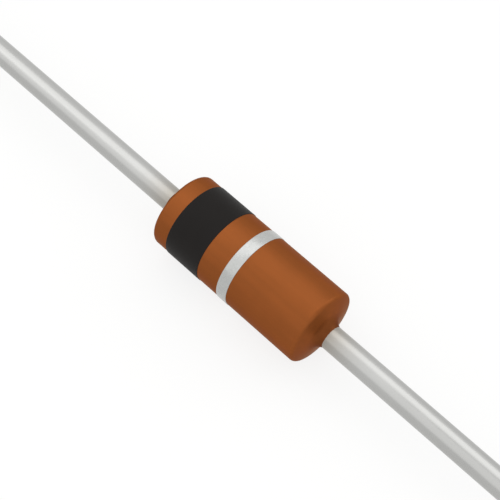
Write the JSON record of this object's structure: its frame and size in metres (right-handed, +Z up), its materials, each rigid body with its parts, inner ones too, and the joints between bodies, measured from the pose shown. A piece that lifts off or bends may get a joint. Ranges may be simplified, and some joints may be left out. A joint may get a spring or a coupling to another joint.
{
  "type": "zener diode",
  "caption": "Axial-lead zener diode: a sealed brown glass body with a black cathode band, a silver ring at its middle and a straight tinned wire lead at each end.",
  "frame": {"origin": "middle of the glass body, on the common axis of the two leads", "axes": "+X along the diode from its cathode, which the black band marks, to its anode; +Z up"},
  "size_m": [0.0566, 0.0018, 0.0018],
  "materials": {
    "sleeve_glass": "satin",
    "black_ink": "satin",
    "silver_ink": "satin",
    "tinned_wire": "satin",
    "slug_metal": "satin",
    "chip_silicon": "gloss",
    "contact_silver": "satin"
  },
  "bodies": {
    "root": {"glass_sleeve": "sleeve_glass", "cathode_band": "black_ink", "silver_ring": "silver_ink", "cathode_lead": "tinned_wire", "anode_lead": "tinned_wire", "cathode_slug": "slug_metal", "anode_slug": "slug_metal", "zener_die": "chip_silicon", "die_braze": "contact_silver", "anode_bump": "contact_silver"}
  },
  "joints": []
}
